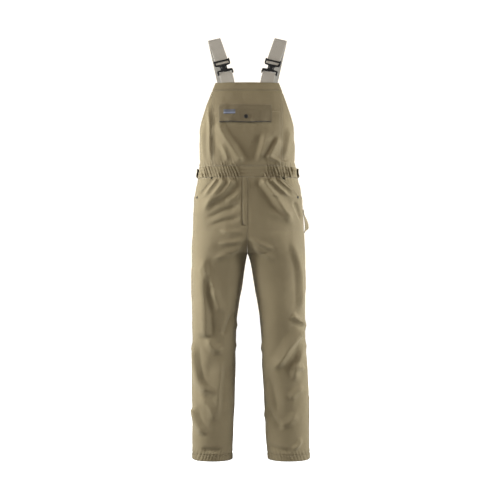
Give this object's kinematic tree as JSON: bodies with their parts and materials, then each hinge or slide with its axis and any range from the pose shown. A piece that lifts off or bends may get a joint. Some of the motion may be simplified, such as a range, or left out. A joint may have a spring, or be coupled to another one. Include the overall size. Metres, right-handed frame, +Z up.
{
  "type": "bib overalls",
  "caption": "Khaki work bib overalls with a chest pocket and flap, fly zip, side tabs, slant pockets, hammer loop and elastic braces on release buckles.",
  "frame": {"origin": "on the floor under the middle of the whole piece, level with the hems", "axes": "+Z up the standing garment, -Y the wearer's front, +X the wearer's left"},
  "size_m": [0.4604, 0.2502, 1.6398],
  "materials": {
    "twill": "matt khaki cotton twill",
    "elastic": "ribbed beige elastic webbing",
    "lining": "plain woven lining and zip tape",
    "woven_label": "plain woven label",
    "bartack_thread": "dense black stitching",
    "buckle_plastic": "moulded black plastic",
    "dark_metal": "black lacquered metal",
    "zip_metal": "oxidised brass"
  },
  "bodies": {
    "garment": {"right_leg_front": "twill", "right_leg_back": "twill", "left_leg_front": "twill", "left_leg_back": "twill", "right_pocket_bag": "lining", "left_pocket_bag": "lining", "right_back_pocket": "twill", "left_back_pocket": "twill", "ruler_pocket": "twill", "fly_placket": "twill", "zip_tape": "lining", "zip_chain": "zip_metal", "front_waistband": "twill", "back_waistband": "twill", "right_waist_elastic": "elastic", "left_waist_elastic": "elastic", "back_waist_elastic": "elastic", "right_side_stud": "dark_metal", "left_side_stud": "dark_metal", "bib_front_panel": "twill", "bib_top_band": "twill", "right_bib_side": "twill", "left_bib_side": "twill", "bib_pocket": "twill", "flap_stud": "dark_metal", "back_panel": "twill", "back_top_band": "twill", "right_pocket_rivet": "dark_metal", "left_pocket_rivet": "dark_metal", "hammer_loop": "twill", "leg_vent_placket": "twill", "leg_vent_bartack": "bartack_thread", "right_back_strap": "elastic", "right_tab_strap": "elastic", "right_buckle_female": "buckle_plastic", "left_back_strap": "elastic", "left_tab_strap": "elastic", "left_buckle_female": "buckle_plastic"},
    "flap": {"bib_pocket_flap": "twill", "flap_label": "woven_label", "flap_cap": "dark_metal", "flap_socket": "dark_metal"},
    "slider": {"zip_slider": "zip_metal"},
    "pull": {"zip_pull": "zip_metal"},
    "right_tab": {"right_side_tab": "twill", "right_side_cap": "dark_metal", "right_side_socket": "dark_metal"},
    "right_release": {"right_buckle_male": "buckle_plastic", "right_front_strap": "elastic"},
    "right_inner_prong": {"right_buckle_inner_prong": "buckle_plastic"},
    "right_outer_prong": {"right_buckle_outer_prong": "buckle_plastic"},
    "left_tab": {"left_side_tab": "twill", "left_side_cap": "dark_metal", "left_side_socket": "dark_metal"},
    "left_release": {"left_buckle_male": "buckle_plastic", "left_front_strap": "elastic"},
    "left_inner_prong": {"left_buckle_inner_prong": "buckle_plastic"},
    "left_outer_prong": {"left_buckle_outer_prong": "buckle_plastic"}
  },
  "joints": [
    {"name": "flap_hinge", "type": "hinge", "parent": "garment", "child": "flap", "pos_m": [-0.01883, -0.11466, 1.36608], "axis": [-1, 0, 0], "range_deg": [0, 150]},
    {"name": "zip_slide", "type": "slide", "parent": "garment", "child": "slider", "axis": [0, 0, -1], "range_m": [0, 0.13]},
    {"name": "zip_pull_hinge", "type": "hinge", "parent": "slider", "child": "pull", "pos_m": [-0.02116, -0.11615, 1.06751], "axis": [-1, 0, 0], "range_deg": [0, 1.5]},
    {"name": "right_tab_hinge", "type": "hinge", "parent": "garment", "child": "right_tab", "pos_m": [-0.19422, 0.05555, 1.111], "axis": [0, 0, -1], "range_deg": [0, 90]},
    {"name": "right_buckle_slide", "type": "slide", "parent": "garment", "child": "right_release", "axis": [-0.2792, 0.4496, 0.8485], "range_m": [0, 0.018], "deforming": ["right_front_strap"]},
    {"name": "right_inner_prong_flex", "type": "hinge", "parent": "right_release", "child": "right_inner_prong", "pos_m": [-0.0935, -0.05793, 1.52062], "axis": [0, 0.8836, -0.4682], "range_deg": [0, 5], "stiffness_Nm_per_rad": 0.2},
    {"name": "right_outer_prong_flex", "type": "hinge", "parent": "right_release", "child": "right_outer_prong", "pos_m": [-0.11472, -0.06082, 1.51517], "axis": [0, -0.8836, 0.4682], "range_deg": [0, 5], "stiffness_Nm_per_rad": 0.2},
    {"name": "left_tab_hinge", "type": "hinge", "parent": "garment", "child": "left_tab", "pos_m": [0.17267, 0.05555, 1.111], "axis": [0, 0, 1], "range_deg": [0, 90]},
    {"name": "left_buckle_slide", "type": "slide", "parent": "garment", "child": "left_release", "axis": [0.2792, 0.4496, 0.8485], "range_m": [0, 0.018], "deforming": ["left_front_strap"]},
    {"name": "left_inner_prong_flex", "type": "hinge", "parent": "left_release", "child": "left_inner_prong", "pos_m": [0.07018, -0.05793, 1.52062], "axis": [0, -0.8836, 0.4682], "range_deg": [0, 5], "stiffness_Nm_per_rad": 0.2},
    {"name": "left_outer_prong_flex", "type": "hinge", "parent": "left_release", "child": "left_outer_prong", "pos_m": [0.0914, -0.06082, 1.51517], "axis": [0, 0.8836, -0.4682], "range_deg": [0, 5], "stiffness_Nm_per_rad": 0.2}
  ]
}
